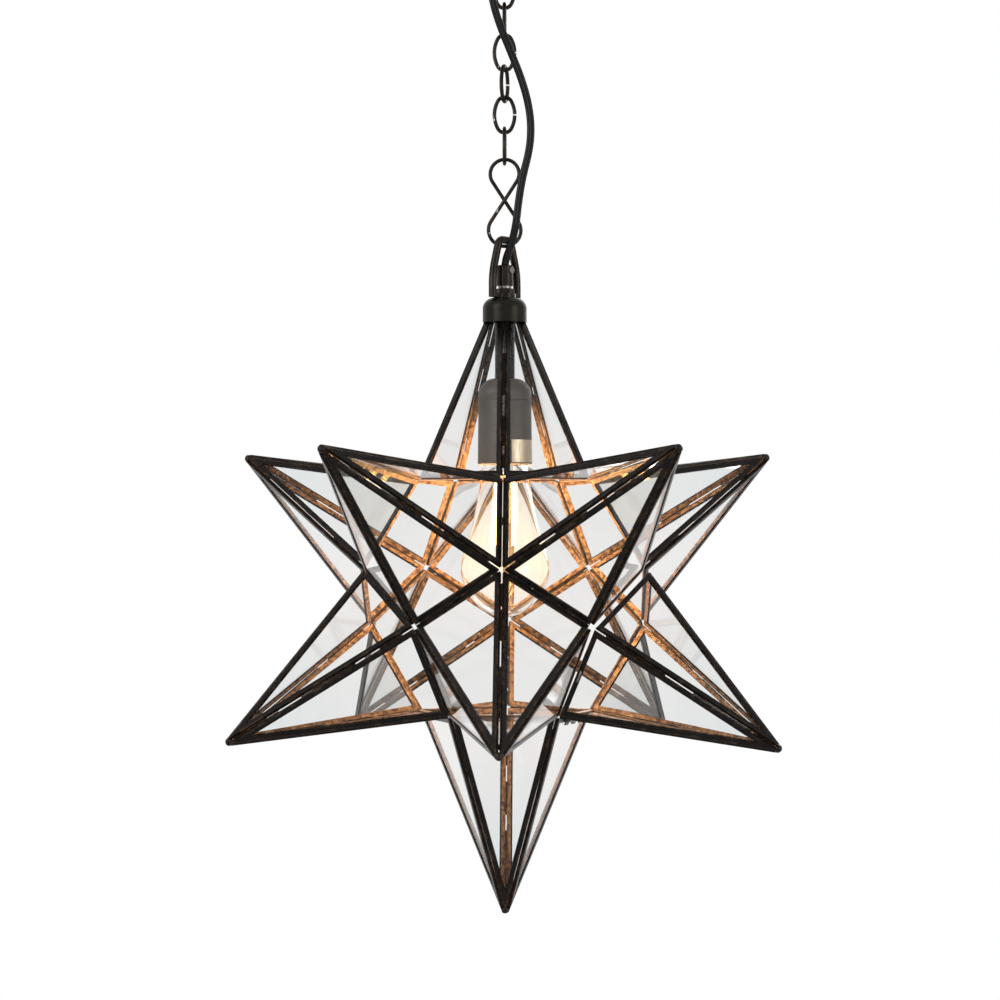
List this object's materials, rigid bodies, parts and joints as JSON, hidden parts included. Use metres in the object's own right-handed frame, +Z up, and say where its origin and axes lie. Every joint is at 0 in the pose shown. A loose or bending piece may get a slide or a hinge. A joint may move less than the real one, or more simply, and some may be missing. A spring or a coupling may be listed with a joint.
{
  "type": "star pendant lantern",
  "caption": "Stellated glass star lantern in dark channel frames, hung by a bow, a figure-eight link and an open-link chain from a ceiling canopy, with a hinged point for the bulb.",
  "frame": {"origin": "centre of the mounting strap's ceiling face, on the lantern's hanging axis", "axes": "+Z up, into the ceiling; the front of the star looks along -Y; +X to the viewer's right"},
  "size_m": [0.3972, 0.4174, 0.7469],
  "materials": {
    "channel_black": "black patina on folded channel, mottled brown inside",
    "clear_glass": "clear drawn sheet glass, faintly grey",
    "solder_dark": "blackened solder",
    "cap_bronze": "satin dark bronze",
    "chain_bronze": "glossy dark bronze, worn bright in places",
    "screw_steel": "plain steel, dulled",
    "holder_plastic": "fine matte moulding",
    "shell_brass": "bright pressed brass",
    "label_foil": "brushed foil, bare",
    "bulb_glass": "clear, faintly amber",
    "bulb_cap_metal": "rolled screw cap",
    "filament_glow": "glowing filament rods",
    "canopy_bronze": "satin dark bronze",
    "strap_zinc": "zinc plated strip",
    "grommet_rubber": "black",
    "terminal_plastic": "white moulding",
    "cord_black": "glossy black twin flex"
  },
  "bodies": {
    "canopy": {"mounting_strap": "strap_zinc", "canopy_cup": "canopy_bronze", "ceiling_loop": "chain_bronze", "cord_grommet": "grommet_rubber", "terminal_block": "terminal_plastic", "supply_cord": "cord_black"},
    "link_1": {"chain_link_1": "chain_bronze"},
    "link_2": {"chain_link_2": "chain_bronze"},
    "link_3": {"chain_link_3": "chain_bronze"},
    "link_4": {"chain_link_4": "chain_bronze"},
    "link_5": {"chain_link_5": "chain_bronze"},
    "link_6": {"chain_link_6": "chain_bronze"},
    "figure_eight": {"figure_eight_link": "chain_bronze"},
    "star": {"suspension_bow": "chain_bronze", "cord_grip": "chain_bronze", "grip_screw": "screw_steel", "threaded_nipple": "screw_steel", "lock_nut": "chain_bronze", "top_cap": "cap_bronze", "stem_tube": "cap_bronze", "lampholder_dome": "holder_plastic", "lampholder_skirt": "holder_plastic", "lampholder_screw_shell": "shell_brass", "lampholder_label": "label_foil", "lamp_lead": "cord_black", "fixed_hinge_leaves": "channel_black", "hinge_pin": "screw_steel", "solder_joints": "solder_dark", "top_point_frames": "channel_black", "bottom_point_frames": "channel_black", "upper_front_left_frames": "channel_black", "upper_front_right_frames": "channel_black", "upper_left_frames": "channel_black", "upper_right_frames": "channel_black", "upper_back_frames": "channel_black", "lower_front_frames": "channel_black", "lower_left_frames": "channel_black", "lower_back_left_frames": "channel_black", "lower_back_right_frames": "channel_black", "top_point_glass": "clear_glass", "bottom_point_glass": "clear_glass", "upper_front_left_glass": "clear_glass", "upper_front_right_glass": "clear_glass", "upper_left_glass": "clear_glass", "upper_right_glass": "clear_glass", "upper_back_glass": "clear_glass", "lower_front_glass": "clear_glass", "lower_left_glass": "clear_glass", "lower_back_left_glass": "clear_glass", "lower_back_right_glass": "clear_glass"},
    "door": {"door_frames": "channel_black", "door_glass": "clear_glass", "door_hinge_leaves": "channel_black", "door_pull": "screw_steel", "door_solder_cap": "solder_dark"},
    "bulb": {"bulb_envelope": "bulb_glass", "bulb_screw_cap": "bulb_cap_metal", "bulb_contact": "bulb_cap_metal", "bulb_glass_stem": "bulb_glass", "filament_cage": "filament_glow"}
  },
  "joints": [
    {"name": "loop_to_link_1", "type": "hinge", "parent": "canopy", "child": "link_1", "pos_m": [0, 0, -0.06], "axis": [0, 1, 0], "range_deg": [-12, 12]},
    {"name": "link_1_to_2", "type": "hinge", "parent": "link_1", "child": "link_2", "pos_m": [0, 0, -0.08285], "axis": [1, 0, 0], "range_deg": [-12, 12]},
    {"name": "link_2_to_3", "type": "hinge", "parent": "link_2", "child": "link_3", "pos_m": [0, 0, -0.10575], "axis": [0, 1, 0], "range_deg": [-12, 12]},
    {"name": "link_3_to_4", "type": "hinge", "parent": "link_3", "child": "link_4", "pos_m": [0, 0, -0.12865], "axis": [1, 0, 0], "range_deg": [-12, 12]},
    {"name": "link_4_to_5", "type": "hinge", "parent": "link_4", "child": "link_5", "pos_m": [0, 0, -0.15155], "axis": [0.2924, 0.9563, 0], "range_deg": [-12, 12]},
    {"name": "link_5_to_6", "type": "hinge", "parent": "link_5", "child": "link_6", "pos_m": [0, 0, -0.17445], "axis": [1, 0, 0], "range_deg": [-12, 12]},
    {"name": "link_6_to_eight", "type": "hinge", "parent": "link_6", "child": "figure_eight", "pos_m": [0, 0, -0.19735], "axis": [0, 1, 0], "range_deg": [-12, 12]},
    {"name": "eight_to_bow", "type": "hinge", "parent": "figure_eight", "child": "star", "pos_m": [0, 0, -0.258], "axis": [1, 0, 0], "range_deg": [-12, 12], "deforming": ["supply_cord"]},
    {"name": "door_hinge", "type": "hinge", "parent": "star", "child": "door", "pos_m": [0.05223, -0.01697, -0.6032], "axis": [0.309, 0.9511, 0], "range_deg": [-1.8, 80]},
    {"name": "bulb_unscrew", "type": "slide", "parent": "star", "child": "bulb", "axis": [0, 0, -1], "range_m": [0, 0.028]}
  ]
}
